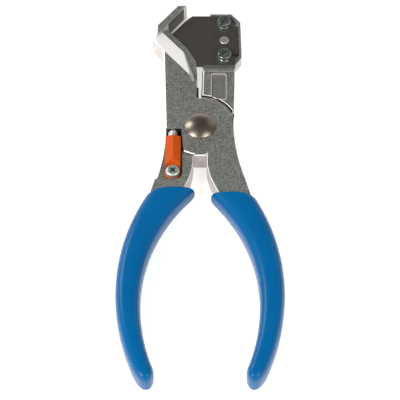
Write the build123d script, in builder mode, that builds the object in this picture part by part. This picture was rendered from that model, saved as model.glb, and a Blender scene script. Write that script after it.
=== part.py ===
from build123d import *
import math
import os

# Bow-handled lap-joint cutting pliers with a V-shaped anvil jaw and a clamped knife plate.
# Frame: millimetres, +Z up. The origin is on the pivot axis, on the surface that the tool lies on.
# +Y points to the jaws, +X to the blade side. The jaws stand open, as the return spring leaves them.
#
#   anvil_lever   jaw on the left (-X), front half of the hub, handle on the right (+X)
#   blade_lever   jaw on the right (+X), rear half of the hub, handle on the left (-X)

os.makedirs("parts", exist_ok=True)

# ---------------------------------------------------------------- thickness and levels
lever_thickness = 9.5
grip_thickness = 12.5
lever_bottom = (grip_thickness - lever_thickness) / 2
lever_top = lever_bottom + lever_thickness
parting = lever_bottom + lever_thickness / 2
lap_gap = 0.1
edge_round = 0.45
running_clearance = 0.05
seat_clearance = 0.02
closing_angle = 3.1

# ---------------------------------------------------------------- hub and rivet
hub_radius = 13.9
shoulder_gap = 0.55
lower_shoulder_gap = 0.95
feather_drop = 6.5
hub_flat = 14.45
hub_flat_width = 5.2
stop_angle = 24.0
stop_gap = 0.7
rivet_radius = 3.5
rivet_head_radius = 6.3
rivet_head_rim = 0.5
rivet_head_rise = 1.9
rivet_tail_radius = 4.6
rivet_tail_chamfer = 0.4
rivet_head_chamfer = 0.15
rivet_crown_share = 0.6
washer_radius = 5.8
washer_thickness = 0.5

# ---------------------------------------------------------------- arms and head of the anvil lever
waist = 13.95
waist_height = 0.5
arm_half_width = 15.2
arm_shoulder = 38.3
head_left = 20.15
head_low = 44.3
head_high = 52.6
head_top = 63.2
head_top_left = 11.5
slot_left_low = -1.0
slot_left_high = -1.35
slot_bottom = 13.2
anvil_angle = 52.5
anvil_point = (-10.2, 57.25)
cheek_angle = -49.3
cheek_point = (-5.3, 41.97)
cheek_right = -1.35
cheek_bend = (-1.64, 35.06)
facet_slope = 18.0
facet_width = 9.75
facet_turn = (-6.42, 39.53)
facet_low = (-1.88, 24.6)
ledge_width = 2.3
ledge_height = 0.4
ledge_wall_slope = 30.0
bevel_width = 2.2
bevel_depth = 1.5

# ---------------------------------------------------------------- anvil plate and its pins
plate_thickness = 1.5
plate_rear_margin = 1.3
plate_front_margin = 0.6
plate_corner = 1.4
plate_root_gap = 1.0
anvil_pin_radius = 0.8
anvil_pin_length = 3.6
anvil_pin_pitch = 5.0

# ---------------------------------------------------------------- blade and what holds it
blade_thickness = 2.0
blade_angle = 50.5
jaw_gap = 2.25
blade_top = 59.7
blade_bottom = 34.0
blade_nose = -13.2
blade_notch_x = 13.0
blade_notch = 5.7
blade_right = 16.1
bevel_ground = 1.5
bevel_land = 0.25
slot_clearance = 0.1
nose_room = 0.8
screw_x = 10.3
screw_pitch = 17.46
screw_radius = 1.5
screw_hole_radius = 1.6
screw_head_radius = 2.75
screw_head_height = 2.0
screw_slot_width = 0.8
screw_slot_depth = 0.9
screw_recess = 0.2
screw_head_round = 0.3
washer_m3_radius = 3.1
washer_m3_thickness = 0.4
pin_radius = 2.0
pin_stand = 0.2
pin_recess = 0.3
pin_chamfer = 0.15

# ---------------------------------------------------------------- holder and arm of the blade lever
holder_left = 4.3
holder_top = 61.0
holder_chamfer_x = 13.5
holder_right_high = 17.3
holder_shoulder_high = 56.4
holder_right_low = 17.6
holder_shoulder_low = 37.6
holder_chamfer_low = 33.6
rim_width = 1.1
holder_inset = 0.3
pocket_clearance = 0.1
rim_drop = 0.25
step_start = 28.9
step_slope = 40.0
arm_left_low = 0.45
arm_left_high = 1.15
panel_centre = (7.8, 19.7)
panel_size = (6.8, 13.6)
panel_corner = 1.3
panel_depth = 0.35
panel_rim = 0.55
panel_rim_height = 0.2

# ---------------------------------------------------------------- handles, tangs and grips
handle_outer = [(14.95, -11.5), (18.3, -25.5)]
handle_inner = [(2.7, -15.0), (3.2, -21.5), (4.95, -27.0)]
grip_outer_radius = 87.0
grip_outer_middle = -75.0
grip_outer_reach = 32.75
grip_inner_radius = 70.5
grip_inner_lower_radius = 79.0
grip_inner_middle = -80.3
grip_inner_reach = 22.9
grip_wall = 2.0
grip_fit = 0.05
grip_edge_round = 3.2
grip_end = -114.6
grip_tip_round = 3.5
left_grip_top = -30.0
right_grip_top = -32.3
grip_corner = 3.5
tang_end = grip_end + 10.6
tang_tip_bulge = 0.45
tang_join_outer = -36.0
tang_join_inner = -34.0

# ---------------------------------------------------------------- spring, sleeve and stop pad
notch_top = -1.05
notch_right_top = -7.65
notch_right_low = -6.5
notch_low = -12.1
sleeve_x = -10.98
sleeve_width = 6.2
sleeve_top = -4.6
sleeve_eave = 10.0
sleeve_ridge = 11.5
sleeve_seat = 8.2
sleeve_screw_y = -20.9
sleeve_end_radius = 3.1
sleeve_ramp = 31.0
sleeve_lip = 0.15
recess_right = -7.1
recess_bottom = -25.6
recess_corner = 2.6
spring_z = 8.5
spring_radius = 1.6
spring_wire = 0.6
spring_turns = 19.0
spring_start = -1.6
spring_end = -15.6
spring_clearance = 0.3
post_barrel_radius = 1.2
post_barrel_length = 2.1
post_tail_radius = 0.9
post_tail_length = 4.0
post_round = 0.3
pan_head_radius = 2.8
pan_head_height = 2.1
pan_head_round = 0.9
recess_length = 3.0
recess_width = 0.7
recess_depth = 1.3
recess_taper = 12
pad_bottom = 13.9
pad_top = 19.4
pad_thickness = 0.85
pad_proud = 0.45
pad_corner = 0.2

half = lever_thickness / 2
far = 60.0
rear_lap = parting - lap_gap / 2
front_lap = parting + lap_gap / 2
blade_back = parting - blade_thickness / 2
blade_front = parting + blade_thickness / 2


def direction(angle):
    """Unit vector at an angle to +X, in degrees."""
    return Vector(math.cos(math.radians(angle)), math.sin(math.radians(angle)))


def along(point, angle, distance, aside=0.0):
    """The point reached by going a distance at an angle, then aside to the left."""
    return Vector(*point) + direction(angle) * distance + direction(angle + 90) * aside


def crossing(point, angle, other_point, other_angle):
    """Where two lines cross, each given by a point and an angle."""
    a, b = direction(angle), direction(other_angle)
    gap = Vector(*other_point) - Vector(*point)
    reach = (gap.X * b.Y - gap.Y * b.X) / (a.X * b.Y - a.Y * b.X)
    return Vector(*point) + a * reach


def bow_x(reach, middle, radius, y):
    """X of a handle's bow at a height: a circle that reaches furthest out at its middle."""
    return reach - radius + math.sqrt(radius**2 - (y - middle) ** 2)


def outer_x(y, inset=0.0):
    """X of the right grip's outer side, moved in by an inset."""
    return bow_x(grip_outer_reach - inset, grip_outer_middle, grip_outer_radius - inset, y)


def inner_x(y, inset=0.0):
    """X of the right grip's inner side, moved in by an inset."""
    lower = y < grip_inner_middle
    radius = (grip_inner_lower_radius if lower else grip_inner_radius) + inset
    return bow_x(grip_inner_reach + inset, grip_inner_middle, radius, y)


def handle_profile(inset):
    """Right handle from the hub down to the end of its tang, the inset inside the grip."""
    join_out = (outer_x(tang_join_outer, inset), tang_join_outer)
    join_in = (inner_x(tang_join_inner, inset), tang_join_inner)
    end_out = (outer_x(tang_end, inset), tang_end)
    end_in = (inner_x(tang_end, inset), tang_end)
    grow = grip_wall - inset
    flare = (handle_outer[1][0] + grow, handle_outer[1][1])
    with BuildSketch() as profile:
        with BuildLine():
            ThreePointArc((waist + grow, 0), (handle_outer[0][0] + grow, handle_outer[0][1]), flare)
            Line(flare, join_out)
            middle_y = (tang_join_outer + tang_end) / 2
            ThreePointArc(join_out, (outer_x(middle_y, inset), middle_y), end_out)
            tip = ((end_out[0] + end_in[0]) / 2, tang_end - tang_tip_bulge * (end_out[0] - end_in[0]))
            ThreePointArc(end_out, tip, end_in)
            middle_in = (inner_x(grip_inner_middle, inset), grip_inner_middle)
            low_y = (grip_inner_middle + tang_end) / 2
            high_y = (grip_inner_middle + tang_join_inner) / 2
            ThreePointArc(end_in, (inner_x(low_y, inset), low_y), middle_in)
            ThreePointArc(middle_in, (inner_x(high_y, inset), high_y), join_in)
            points = [(x - grow, y) for x, y in handle_inner]
            Line(join_in, points[2])
            ThreePointArc(points[2], points[1], points[0])
            Polyline(points[0], (points[0][0], 0), (waist + grow, 0))
        make_face()
    return profile.sketch


def grip_profile():
    """Outline of the right grip, its upper end left long."""
    reach = max(left_grip_top, right_grip_top) + 2
    middle_y = (reach + grip_end) / 2
    end_out = (outer_x(grip_end), grip_end)
    end_in = (inner_x(grip_end), grip_end)
    middle_in = (inner_x(grip_inner_middle), grip_inner_middle)
    low_y = (grip_inner_middle + grip_end) / 2
    high_y = (grip_inner_middle + reach) / 2
    with BuildSketch() as profile:
        with BuildLine():
            ThreePointArc((outer_x(reach), reach), (outer_x(middle_y), middle_y), end_out)
            Line(end_out, end_in)
            ThreePointArc(end_in, (inner_x(low_y), low_y), middle_in)
            ThreePointArc(middle_in, (inner_x(high_y), high_y), (inner_x(reach), reach))
            Line((inner_x(reach), reach), (outer_x(reach), reach))
        make_face()
        fillet(vertices().sort_by(Axis.Y)[:2], grip_tip_round)
    return profile.sketch


def hub_cut(arm_side):
    """What a lever's shoulder layer gives up for the other lever's half hub; arm_side is -1 or 1."""
    upper = hub_radius + shoulder_gap
    lower = hub_radius + lower_shoulder_gap
    tip = math.radians(stop_angle) + stop_gap / hub_radius
    wall = waist + 2
    with BuildSketch() as profile:
        Circle(upper)
        with BuildSketch(mode=Mode.PRIVATE) as lower_half:
            Circle(lower)
            with Locations((0, lower)):
                Rectangle(4 * lower, 2 * lower, mode=Mode.SUBTRACT)
        add(lower_half.sketch)
        with BuildLine():
            Polyline((0, 0), (arm_side * wall, 0), (arm_side * wall, wall * math.tan(tip)), (0, 0))
        make_face()
        with BuildLine():
            Polyline((0, 0), (-arm_side * wall, 0), (-arm_side * wall, wall * math.tan(tip)), (0, 0))
        make_face()
    return profile.sketch


def hub_profile(arm_side):
    """Half hub with its flat foot, and the step on the other lever's side that stops the jaws opening."""
    step = math.radians(stop_angle)
    low = (-arm_side * hub_radius * math.cos(step), hub_radius * math.sin(step))
    wall = waist + (arm_half_width - waist) * low[1] / arm_shoulder
    high = (-arm_side * wall, wall * math.tan(step))
    with BuildSketch() as profile:
        Circle(hub_radius)
        with Locations((0, -hub_flat / 2)):
            Rectangle(hub_flat_width, hub_flat)
        with BuildLine():
            Polyline((0, 0), low, high, (-arm_side * waist, 0), (0, 0))
        make_face()
    return profile.sketch


# ---------------------------------------------------------------- anvil lever
anvil_root = crossing(anvil_point, anvil_angle, cheek_point, cheek_angle)
facet_foot = along(cheek_point, cheek_angle, 0, -facet_width)
blade_middle = (blade_top + blade_bottom) / 2
edge_point = along(anvil_point, anvil_angle, 0, -jaw_gap)
edge_top = crossing(edge_point, blade_angle, (0, blade_top), 0)
edge_nose = crossing(edge_point, blade_angle, (blade_nose, 0), 90)
slot_low = parting - blade_thickness / 2 - slot_clearance
slot_high = parting + blade_thickness / 2 + slot_clearance
plate_low = lever_bottom + plate_rear_margin
plate_high = lever_top - plate_front_margin
plate_start = along((anvil_root.X, anvil_root.Y), anvil_angle, plate_root_gap)
plate_rise = head_top - bevel_depth / 2 - plate_thickness * math.cos(math.radians(anvil_angle)) - plate_start.Y
plate_length = plate_rise / math.sin(math.radians(anvil_angle))

with BuildSketch() as anvil_outline:
    with BuildLine():
        Polyline(
            (slot_left_low, slot_bottom - 6),
            (slot_left_low, slot_bottom + 9),
            (slot_left_high, blade_bottom),
            (slot_left_high, head_top),
            (-head_top_left, head_top),
            (-head_left, head_high),
            (-head_left, head_low),
            (-arm_half_width, arm_shoulder),
            (-waist, waist_height),
            (-waist, 0),
            (slot_left_low, 0),
            close=True,
        )
    make_face()
    add(hub_profile(-1))
    add(handle_profile(grip_wall))



def bevel_cutter(start, end, width, depth):
    """Long wedge that bevels the front edge from start to end, with the body on the left of that run."""
    run = (Vector(*end) - Vector(*start)).normalized()
    inward = run.rotate(Axis.Z, 90)
    origin = Vector(start[0], start[1], lever_top) - run * far
    over = 3 * depth / width
    with BuildPart() as cutter:
        with BuildSketch(Plane(origin=origin, x_dir=inward, z_dir=run)):
            Polygon((-3, -depth - over), (width + 3, over), (-3, over), align=None)
        extrude(amount=2 * far)
    return cutter.part


def beyond_anvil(height, aside=0.0):
    """Everything on the anvil's side of its face, from the rest surface up, as a block."""
    corner = along((anvil_root.X, anvil_root.Y), anvil_angle, -far, aside)
    face = Plane(origin=(corner.X, corner.Y, 0), x_dir=direction(anvil_angle), z_dir=(0, 0, 1))
    with BuildPart() as block:
        with BuildSketch(face):
            Rectangle(2 * far, far, align=Align.MIN)
        extrude(amount=height)
    return block.part


def blade_front_half():
    """The blade's pointed half, out to a little past the holder's edge."""
    low = 2 * blade_middle
    with BuildSketch() as nose:
        Polygon(
            (holder_left + 4, blade_top),
            (edge_top.X, blade_top),
            (blade_nose, edge_nose.Y),
            (blade_nose, low - edge_nose.Y),
            (edge_top.X, blade_bottom),
            (holder_left + 4, blade_bottom),
            align=None,
        )
    return nose.sketch


def facet_cutter():
    """Sloping facet along the lower arm of the V, with its stepped ledge, up to the anvil's face."""
    foot = Vector(facet_foot.X, facet_foot.Y, lever_top)
    run = direction(cheek_angle)
    slope = math.tan(math.radians(facet_slope))
    facet = Plane(origin=foot - run * far, x_dir=direction(cheek_angle + 90), z_dir=run)
    ledge_level = slot_high + ledge_height
    step = along((facet_foot.X, facet_foot.Y), cheek_angle, 0, facet_width - ledge_width)
    start = along((step.X, step.Y), cheek_angle, -far)
    with BuildPart() as cutter:
        with BuildSketch(facet):
            Polygon((-3, 3 * slope), (14, -14 * slope), (14, 5), (-3, 5), align=None)
        extrude(amount=2 * far)
        with BuildSketch(Plane.XY.offset(ledge_level)):
            Polygon((start.X, start.Y), facet_turn, facet_low, (far, facet_low[1]), (far, far), align=None)
        extrude(amount=half, taper=-ledge_wall_slope)
        add(beyond_anvil(lever_top + 9), mode=Mode.SUBTRACT)
    return cutter.part


with BuildSketch() as slot_outline:
    with BuildSketch(mode=Mode.PRIVATE) as reach:
        add(blade_front_half())
        add(blade_front_half(), rotation=closing_angle)
    make_hull(reach.sketch.edges())
    offset(amount=nose_room, kind=Kind.INTERSECTION)

with BuildSketch() as jaw_opening:
    far_face = along((anvil_root.X, anvil_root.Y), anvil_angle, far)
    Polygon(
        (anvil_root.X, anvil_root.Y),
        cheek_point,
        cheek_bend,
        (slot_left_high, cheek_bend[1] - 5),
        (far, cheek_bend[1] - 5),
        (far, far_face.Y),
        (far_face.X, far_face.Y),
        align=None,
    )

plate_plane = Plane(
    origin=(plate_start.X, plate_start.Y, plate_low),
    x_dir=direction(anvil_angle),
    z_dir=direction(anvil_angle - 90),
)
pin_places = [
    (plate_length / 2 - anvil_pin_pitch / 2, (plate_high - plate_low) / 2),
    (plate_length / 2 + anvil_pin_pitch / 2, (plate_high - plate_low) / 2),
]

notch_points = [
    (-waist - 4, notch_top),
    (notch_right_top, notch_top),
    (notch_right_low, notch_low),
    (notch_right_low, -waist - 4),
    (-waist - 4, -waist - 4),
]
post_plane = Plane(origin=(sleeve_x, notch_top, spring_z), x_dir=(1, 0, 0), z_dir=(0, 1, 0))
screw_places = [(screw_x, blade_middle + screw_pitch / 2), (screw_x, blade_middle - screw_pitch / 2)]
screw_turns = [62.0, 35.0]
pin_place = (screw_x, blade_middle)
blade_head_seat = blade_front + washer_m3_thickness
rim_top = blade_front - rim_drop
loop_radius = 2.0
loop_z = 7.0
loop_room = 0.2
channel_overrun = 0.5

with BuildPart() as slot:
    with BuildSketch(Plane.XY.offset(slot_low)):
        add(slot_outline.sketch)
    extrude(amount=slot_high - slot_low)
    add(beyond_anvil(lever_top), mode=Mode.SUBTRACT)

with BuildPart() as anvil_lever:
    with BuildSketch(Plane.XY.offset(lever_bottom)):
        add(anvil_outline.sketch)
    extrude(amount=lever_thickness)
    fillet(edges().group_by(Axis.Z)[-1], edge_round)
    fillet(edges().group_by(Axis.Z)[0], edge_round)
    # bevels along the head's upper left side, down its left side and over its end
    corner = (-head_top_left, head_top)
    add(bevel_cutter(corner, (-head_left, head_high), bevel_width, bevel_depth), mode=Mode.SUBTRACT)
    left_bevel = bevel_cutter((-head_left, head_high), (-head_left, head_low), bevel_width, bevel_depth)
    add(left_bevel, mode=Mode.SUBTRACT)
    add(bevel_cutter((0, head_top), corner, bevel_width / 2, bevel_depth / 2), mode=Mode.SUBTRACT)
    # the V, its facet and the slot that the blade runs in
    with BuildSketch(Plane.XY):
        add(jaw_opening.sketch)
    extrude(amount=lever_top + 1, mode=Mode.SUBTRACT)
    add(facet_cutter(), mode=Mode.SUBTRACT)
    add(slot.part, mode=Mode.SUBTRACT)
    # seat of the anvil plate and its pins
    with BuildSketch(plate_plane):
        Rectangle(plate_length, plate_high - plate_low, align=Align.MIN)
    extrude(amount=-plate_thickness, mode=Mode.SUBTRACT)
    with BuildSketch(plate_plane):
        with Locations(*pin_places):
            Circle(anvil_pin_radius)
    extrude(amount=-anvil_pin_length, mode=Mode.SUBTRACT)
    # notch for the spring, then the rear half given up to the other lever's hub
    with BuildSketch(Plane.XY):
        Polygon(*notch_points, align=None)
    extrude(amount=lever_top + 1, mode=Mode.SUBTRACT)
    with BuildSketch(Plane.XY):
        add(hub_cut(-1))
        # the shoulder's feather edge is squared off
        with BuildLine():
            Polyline((0, 0), (waist + 2, 0), (waist + 2, -feather_drop), (0, -feather_drop), close=True)
        make_face()
    extrude(amount=front_lap, mode=Mode.SUBTRACT)
    # rivet bore, spring post hole and stop pad seat
    with BuildSketch(Plane.XY):
        Circle(rivet_radius + running_clearance)
    extrude(amount=lever_top + 1, mode=Mode.SUBTRACT)
    with BuildSketch(post_plane):
        Circle(post_tail_radius)
    extrude(amount=post_tail_length, mode=Mode.SUBTRACT)
    with BuildSketch(Plane.XY.offset(lever_bottom)):
        with Locations((slot_left_low + pad_proud, pad_bottom)):
            Rectangle(pad_thickness, pad_top - pad_bottom, align=(Align.MAX, Align.MIN))
    extrude(amount=lever_thickness, mode=Mode.SUBTRACT)
anvil_lever.part.label = "anvil_lever"

with BuildPart() as anvil_plate:
    with BuildSketch(plate_plane):
        Rectangle(plate_length, plate_high - plate_low, align=Align.MIN)
    extrude(amount=-plate_thickness)
    end_edges = edges().filter_by(lambda e: abs(e.length - plate_thickness) < 0.01)
    fillet(end_edges.sort_by(Axis.Y)[-2:], plate_corner)
    with BuildSketch(plate_plane.offset(-plate_thickness)):
        with Locations(*pin_places):
            Circle(anvil_pin_radius)
    extrude(amount=plate_thickness / 2, mode=Mode.SUBTRACT)
anvil_plate.part.label = "anvil_plate"

with BuildPart() as anvil_pins:
    with BuildSketch(plate_plane.offset(-plate_thickness / 2 - seat_clearance)):
        with Locations(*pin_places):
            Circle(anvil_pin_radius - seat_clearance)
    extrude(amount=-(anvil_pin_length - plate_thickness / 2 - 2 * seat_clearance))
anvil_pins.part.label = "anvil_pins"

with BuildPart() as stop_pad:
    with BuildSketch(Plane.XY.offset(lever_bottom + edge_round)):
        with Locations((slot_left_low + pad_proud, pad_bottom)):
            RectangleRounded(pad_thickness, pad_top - pad_bottom, pad_corner, align=(Align.MAX, Align.MIN))
    extrude(amount=lever_thickness - 2 * edge_round)
stop_pad.part.label = "stop_pad"

with BuildPart() as spring_post:
    with BuildSketch(post_plane):
        Circle(post_tail_radius - seat_clearance)
    extrude(amount=post_tail_length - seat_clearance)
    with BuildSketch(post_plane):
        Circle(post_barrel_radius)
    extrude(amount=-post_barrel_length)
    fillet(edges().sort_by(Axis.Y)[0], post_round)
spring_post.part.label = "spring_post"

# ---------------------------------------------------------------- blade lever
with BuildSketch() as blade_lever_outline:
    with BuildLine():
        Polyline(
            (arm_left_low, 0),
            (arm_left_low, slot_bottom),
            (arm_left_high, holder_chamfer_low),
            (holder_left, holder_chamfer_low + holder_left - arm_left_high),
            (holder_left, holder_top),
            (holder_chamfer_x, holder_top),
            (holder_right_high, holder_shoulder_high),
            (holder_right_low, holder_shoulder_low),
            (arm_half_width - holder_inset, holder_chamfer_low),
            (waist, waist_height),
            (waist, 0),
            close=True,
        )
    make_face()
    add(hub_profile(1))
    add(mirror(handle_profile(grip_wall), about=Plane.YZ))

with BuildSketch() as pocket_outline:
    with BuildLine():
        Polyline(
            (0, blade_bottom - pocket_clearance),
            (0, holder_top - rim_width),
            (holder_chamfer_x - rim_width / 2, holder_top - rim_width),
            (holder_right_high - rim_width, holder_shoulder_high - rim_width / 2),
            (holder_right_low - rim_width, holder_shoulder_low + rim_width / 2),
            (arm_half_width - holder_inset - rim_width / 2, blade_bottom - pocket_clearance),
            close=True,
        )
    make_face()

with BuildPart() as blade_lever:
    with BuildSketch(Plane.XY.offset(lever_bottom)):
        add(blade_lever_outline.sketch)
    extrude(amount=lever_thickness)
    fillet(edges().group_by(Axis.Z)[-1], edge_round)
    fillet(edges().group_by(Axis.Z)[0], edge_round)
    # holder: stepped down from the arm's front face along a slope, then pocketed for the blade
    with BuildSketch(Plane.YZ):
        slope_run = (lever_top - rim_top) / math.tan(math.radians(step_slope))
        Polygon(
            (step_start - 3, lever_top + 3 * math.tan(math.radians(step_slope))),
            (step_start + slope_run, rim_top),
            (far + 20, rim_top),
            (far + 20, far),
            (step_start - 3, far),
            align=None,
        )
    extrude(amount=far, both=True, mode=Mode.SUBTRACT)
    with BuildSketch(Plane.XY.offset(blade_back)):
        add(pocket_outline.sketch)
    extrude(amount=rim_top - blade_back, mode=Mode.SUBTRACT)
    with BuildSketch(Plane.XY):
        with Locations(*screw_places):
            Circle(screw_radius + seat_clearance)
        with Locations(pin_place):
            Circle(pin_radius)
    extrude(amount=blade_back + 1, mode=Mode.SUBTRACT)
    # front half given up to the other lever's hub
    with BuildSketch(Plane.XY.offset(rear_lap)):
        add(hub_cut(1))
    extrude(amount=far, mode=Mode.SUBTRACT)
    # recess for the spring sleeve, open to the left
    with BuildSketch(Plane.XY.offset(rear_lap)):
        with Locations((recess_right, recess_bottom)):
            RectangleRounded(far, far, recess_corner, align=(Align.MAX, Align.MIN))
    extrude(amount=far, mode=Mode.SUBTRACT)
    with BuildSketch(Plane.XY):
        Circle(rivet_radius + seat_clearance)
        with Locations((sleeve_x, sleeve_screw_y)):
            Circle(screw_radius + seat_clearance)
    extrude(amount=rear_lap, mode=Mode.SUBTRACT)
    # cast panel with a thin raised rim, left blank
    with BuildSketch(Plane.XY.offset(lever_top)):
        with Locations(panel_centre):
            RectangleRounded(panel_size[0] - 2 * panel_rim, panel_size[1] - 2 * panel_rim, panel_corner - panel_rim)
    extrude(amount=-panel_depth, mode=Mode.SUBTRACT)
    with BuildSketch(Plane.XY.offset(lever_top)):
        with Locations(panel_centre):
            RectangleRounded(*panel_size, panel_corner)
            inner = (panel_size[0] - 2 * panel_rim, panel_size[1] - 2 * panel_rim)
            RectangleRounded(*inner, panel_corner - panel_rim, mode=Mode.SUBTRACT)
    extrude(amount=panel_rim_height)
blade_lever.part.label = "blade_lever"

with BuildPart() as blade:
    with BuildSketch(Plane.XY.offset(blade_back)):
        Polygon(
            (edge_top.X, blade_top),
            (blade_nose, edge_nose.Y),
            (blade_nose, 2 * blade_middle - edge_nose.Y),
            (edge_top.X, blade_bottom),
            (blade_notch_x, blade_bottom),
            (blade_notch_x, blade_bottom + blade_notch),
            (blade_right, blade_bottom + blade_notch),
            (blade_right, blade_top - blade_notch),
            (blade_notch_x, blade_top - blade_notch),
            (blade_notch_x, blade_top),
            align=None,
        )
        with Locations(*screw_places):
            Circle(screw_hole_radius, mode=Mode.SUBTRACT)
        with Locations(pin_place):
            Circle(pin_radius, mode=Mode.SUBTRACT)
    extrude(amount=blade_thickness)
    ground = Plane(
        origin=(edge_point.X, edge_point.Y, blade_back + bevel_land),
        x_dir=-direction(blade_angle + 90),
        z_dir=-direction(blade_angle),
    )
    with BuildSketch(ground):
        rise = blade_thickness - bevel_land
        Polygon((-bevel_ground, -rise), (2 * bevel_ground, 2 * rise), (-bevel_ground, 2 * rise), align=None)
    extrude(amount=far, both=True, mode=Mode.SUBTRACT)
blade.part.label = "blade"

with BuildPart() as locating_pin:
    with BuildSketch(Plane.XY.offset(lever_bottom + pin_recess)):
        with Locations(pin_place):
            Circle(pin_radius - seat_clearance)
    extrude(amount=blade_front + pin_stand - lever_bottom - pin_recess)
    chamfer(edges().group_by(Axis.Z)[-1], pin_chamfer)
locating_pin.part.label = "locating_pin"

with BuildPart() as blade_washers:
    with BuildSketch(Plane.XY.offset(blade_front)):
        with Locations(*screw_places):
            Circle(washer_m3_radius)
            Circle(screw_hole_radius, mode=Mode.SUBTRACT)
    extrude(amount=washer_m3_thickness)
blade_washers.part.label = "blade_washers"

with BuildPart() as blade_screws:
    with BuildSketch(Plane.XY.offset(lever_bottom + screw_recess)):
        with Locations(*screw_places):
            Circle(screw_radius)
    extrude(amount=blade_head_seat - lever_bottom - screw_recess)
    with BuildSketch(Plane.XY.offset(blade_head_seat)):
        with Locations(*screw_places):
            Circle(screw_head_radius)
    extrude(amount=screw_head_height)
    fillet(edges().group_by(Axis.Z)[-1], screw_head_round)
    with BuildSketch(Plane.XY.offset(blade_head_seat + screw_head_height)):
        for place, turn in zip(screw_places, screw_turns):
            with Locations(Location((place[0], place[1], 0), (0, 0, turn))):
                Rectangle(3 * screw_head_radius, screw_slot_width)
    extrude(amount=-screw_slot_depth, mode=Mode.SUBTRACT)
blade_screws.part.label = "blade_screws"

# ---------------------------------------------------------------- pivot
with BuildPart() as rivet_washer:
    with BuildSketch(Plane.XY.offset(lever_bottom - washer_thickness)):
        Circle(washer_radius)
        Circle(rivet_radius + seat_clearance, mode=Mode.SUBTRACT)
    extrude(amount=washer_thickness)
rivet_washer.part.label = "rivet_washer"

with BuildPart() as pivot_rivet:
    with BuildSketch(Plane.XZ):
        with BuildLine():
            tail_top = lever_bottom - washer_thickness
            head_seat = lever_top + running_clearance
            Polyline(
                (0, 0),
                (rivet_tail_radius - rivet_tail_chamfer, 0),
                (rivet_tail_radius, rivet_tail_chamfer),
                (rivet_tail_radius, tail_top),
                (rivet_radius, tail_top),
                (rivet_radius, head_seat),
                (rivet_head_radius - rivet_head_chamfer, head_seat),
                (rivet_head_radius, head_seat + rivet_head_chamfer),
                (rivet_head_radius, head_seat + rivet_head_rim),
            )
            crown = head_seat + rivet_head_rim + rivet_head_rise
            sphere = (rivet_head_radius**2 + rivet_head_rise**2) / (2 * rivet_head_rise)
            shoulder = rivet_head_radius * rivet_crown_share
            shoulder_z = crown - sphere + math.sqrt(sphere**2 - shoulder**2)
            ThreePointArc((rivet_head_radius, head_seat + rivet_head_rim), (shoulder, shoulder_z), (0, crown))
            Line((0, crown), (0, 0))
        make_face()
    revolve(axis=Axis.Z)
pivot_rivet.part.label = "pivot_rivet"

# ---------------------------------------------------------------- spring, its sleeve and screw
with BuildPart() as spring_sleeve:
    length = sleeve_top - sleeve_screw_y
    with BuildSketch(Plane.XZ.offset(-sleeve_top)):
        with BuildLine():
            Polyline(
                (sleeve_x - sleeve_width / 2, rear_lap),
                (sleeve_x - sleeve_width / 2, sleeve_eave),
                (sleeve_x, sleeve_ridge),
                (sleeve_x + sleeve_width / 2, sleeve_eave),
                (sleeve_x + sleeve_width / 2, rear_lap),
                close=True,
            )
        make_face()
    extrude(amount=length)
    with BuildSketch(Plane.XY.offset(rear_lap)):
        with Locations((sleeve_x, sleeve_screw_y)):
            Circle(sleeve_end_radius)
    extrude(amount=sleeve_ridge - rear_lap)
    # dished seat for the screw: a cone that opens upward out of the flat seat
    with BuildSketch(Plane.XY.offset(sleeve_seat)):
        with Locations((sleeve_x, sleeve_screw_y)):
            Circle(sleeve_end_radius - sleeve_lip)
    extrude(amount=sleeve_ridge - sleeve_seat + 1, taper=-sleeve_ramp, mode=Mode.SUBTRACT)
    with BuildSketch(Plane.XY.offset(sleeve_seat)):
        with Locations((sleeve_x, sleeve_screw_y - far / 2)):
            Rectangle(far, far)
    extrude(amount=far, mode=Mode.SUBTRACT)
    # channel for the spring and room for its end loop, then the screw hole
    with BuildSketch(Plane.XZ.offset(-sleeve_top)):
        with Locations((sleeve_x, spring_z)):
            Circle(spring_radius + spring_wire / 2 + spring_clearance)
    extrude(amount=sleeve_top - spring_end + channel_overrun, mode=Mode.SUBTRACT)
    with BuildSketch(Plane.XY.offset(rear_lap)):
        with Locations((sleeve_x, spring_end)):
            Rectangle(2 * (loop_radius + loop_room) + spring_wire, 2, align=(Align.CENTER, Align.MAX))
        with Locations((sleeve_x, sleeve_screw_y)):
            Circle(loop_radius + spring_wire / 2 + loop_room)
            Rectangle(2 * (loop_radius + loop_room) + spring_wire, spring_end - sleeve_screw_y, align=(Align.CENTER, Align.MIN))
    extrude(amount=loop_z + spring_wire / 2 + loop_room - rear_lap, mode=Mode.SUBTRACT)
    with BuildSketch(Plane.XY.offset(rear_lap)):
        with Locations((sleeve_x, sleeve_screw_y)):
            Circle(screw_hole_radius)
    extrude(amount=far, mode=Mode.SUBTRACT)
spring_sleeve.part.label = "spring_sleeve"

with BuildPart() as sleeve_screw:
    with BuildSketch(Plane.XY.offset(lever_bottom + screw_recess)):
        with Locations((sleeve_x, sleeve_screw_y)):
            Circle(screw_radius)
    extrude(amount=sleeve_seat - lever_bottom - screw_recess)
    with BuildSketch(Plane.XY.offset(sleeve_seat)):
        with Locations((sleeve_x, sleeve_screw_y)):
            Circle(pan_head_radius)
    extrude(amount=pan_head_height)
    fillet(edges().group_by(Axis.Z)[-1], pan_head_round)
    with BuildSketch(Plane.XY.offset(sleeve_seat + pan_head_height)):
        with Locations((sleeve_x, sleeve_screw_y)):
            Rectangle(recess_length, recess_width, rotation=45)
            Rectangle(recess_length, recess_width, rotation=-45)
    extrude(amount=-recess_depth, taper=recess_taper, mode=Mode.SUBTRACT)
sleeve_screw.part.label = "sleeve_screw"

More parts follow.
